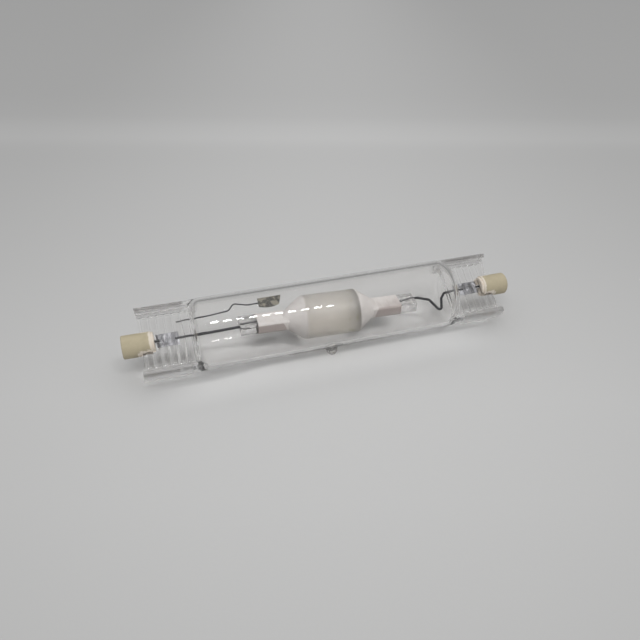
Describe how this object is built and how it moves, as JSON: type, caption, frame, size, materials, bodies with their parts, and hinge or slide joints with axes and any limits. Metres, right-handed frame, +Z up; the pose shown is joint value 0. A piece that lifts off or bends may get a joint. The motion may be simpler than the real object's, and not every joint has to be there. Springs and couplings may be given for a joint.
{
  "type": "metal halide lamp",
  "caption": "Double-ended quartz metal halide lamp: clear tubular jacket with pressed ribbed ends and ceramic caps, arc tube and getter inside.",
  "frame": {"origin": "under the middle of the lamp's bounding box, on the surface it lies on", "axes": "+X along the lamp's axis, towards the end with the kinked lead; +Y level, away from the side the exhaust tip points to; +Z up"},
  "size_m": [0.1354, 0.024, 0.024],
  "materials": {
    "clear_quartz": "clear fire-polished quartz",
    "frosted_quartz": "milky quartz with a condensed film",
    "cap_ceramic": "matte beige steatite",
    "cement": "matte cream cement",
    "white_coating": "matte white zirconia coating",
    "contact_metal": "nickel plated",
    "molybdenum": "drawn dark molybdenum wire",
    "foil": "wrinkled grey foil",
    "tungsten": "grey tungsten",
    "getter_wire": "oxidised wire",
    "getter": "dark sintered getter strip",
    "halide": "melted salts, yellow-green",
    "mercury": "liquid metal"
  },
  "bodies": {
    "root": {"outer_jacket": "clear_quartz", "end_cap_left": "cap_ceramic", "end_cap_right": "cap_ceramic", "cap_cement_left": "cement", "cap_cement_right": "cement", "contact_button_left": "contact_metal", "contact_button_right": "contact_metal", "contact_wire_left": "molybdenum", "contact_wire_right": "molybdenum", "seal_foil_left": "foil", "seal_foil_right": "foil", "straight_lead": "molybdenum", "kinked_lead": "molybdenum", "arc_tube": "frosted_quartz", "heat_coating_left": "white_coating", "heat_coating_right": "white_coating", "arc_foil_left": "foil", "arc_foil_right": "foil", "electrode_left": "tungsten", "electrode_right": "tungsten", "electrode_coil_left": "tungsten", "electrode_coil_right": "tungsten", "getter_wire": "getter_wire", "getter_plate": "getter", "halide_dose": "halide", "mercury_bead": "mercury"}
  },
  "joints": []
}
